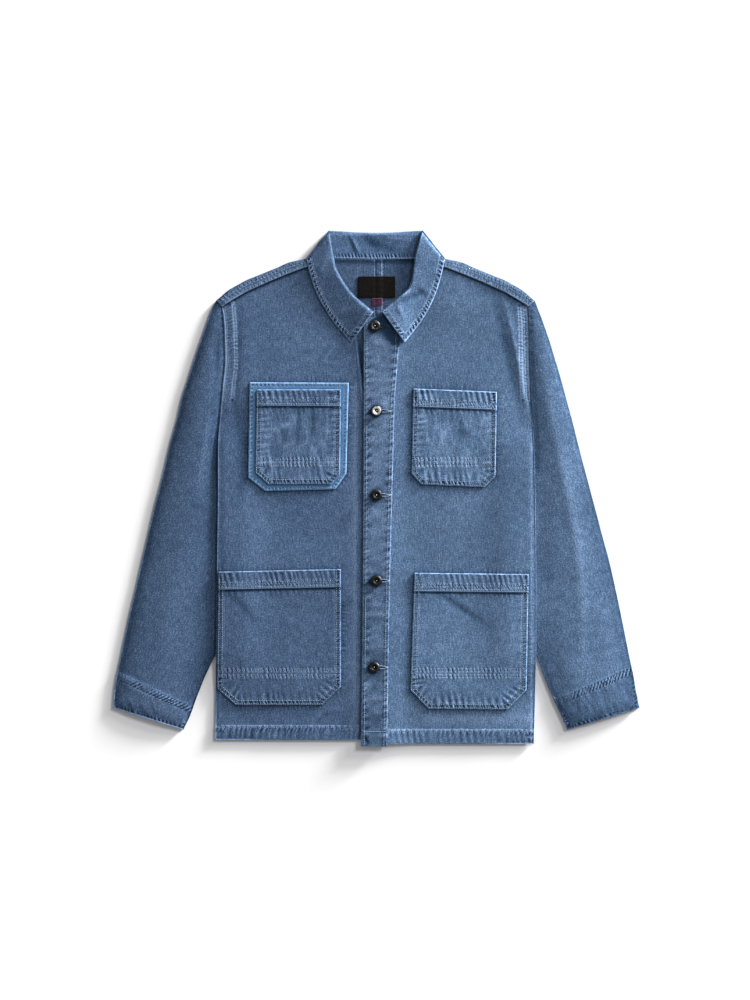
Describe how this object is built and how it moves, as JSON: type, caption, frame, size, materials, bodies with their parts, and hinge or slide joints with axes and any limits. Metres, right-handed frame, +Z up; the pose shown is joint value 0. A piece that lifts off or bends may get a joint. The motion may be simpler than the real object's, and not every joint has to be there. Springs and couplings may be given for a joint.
{
  "type": "chore jacket",
  "caption": "Worn indigo denim chore jacket with a pointed collar, patch pockets and metal buttons, fastened and laid flat on its back.",
  "frame": {"origin": "centre of the bounding box on the surface the jacket lies on", "axes": "+X from the wearer's right sleeve to the left sleeve, +Y from the hem to the collar, +Z up out of the chest"},
  "size_m": [0.7898, 0.771, 0.0132],
  "materials": {
    "denim": "matt",
    "patch_denim": "matt",
    "label_black": "matt",
    "label_plum": "matt",
    "gunmetal": "satin"
  },
  "bodies": {
    "root": {"back_left": "denim", "back_right": "denim", "front_left": "denim", "front_right": "denim", "placket": "denim", "sleeve_left_top": "denim", "sleeve_left_under": "denim", "sleeve_right_top": "denim", "sleeve_right_under": "denim", "collar": "denim", "patch": "patch_denim", "pocket_chest_left": "denim", "pocket_chest_right": "denim", "pocket_hip_left": "denim", "pocket_hip_right": "denim", "neck_label": "label_black", "size_label": "label_plum", "button_1": "gunmetal", "button_2": "gunmetal", "button_3": "gunmetal", "button_4": "gunmetal", "button_5": "gunmetal"}
  },
  "joints": []
}
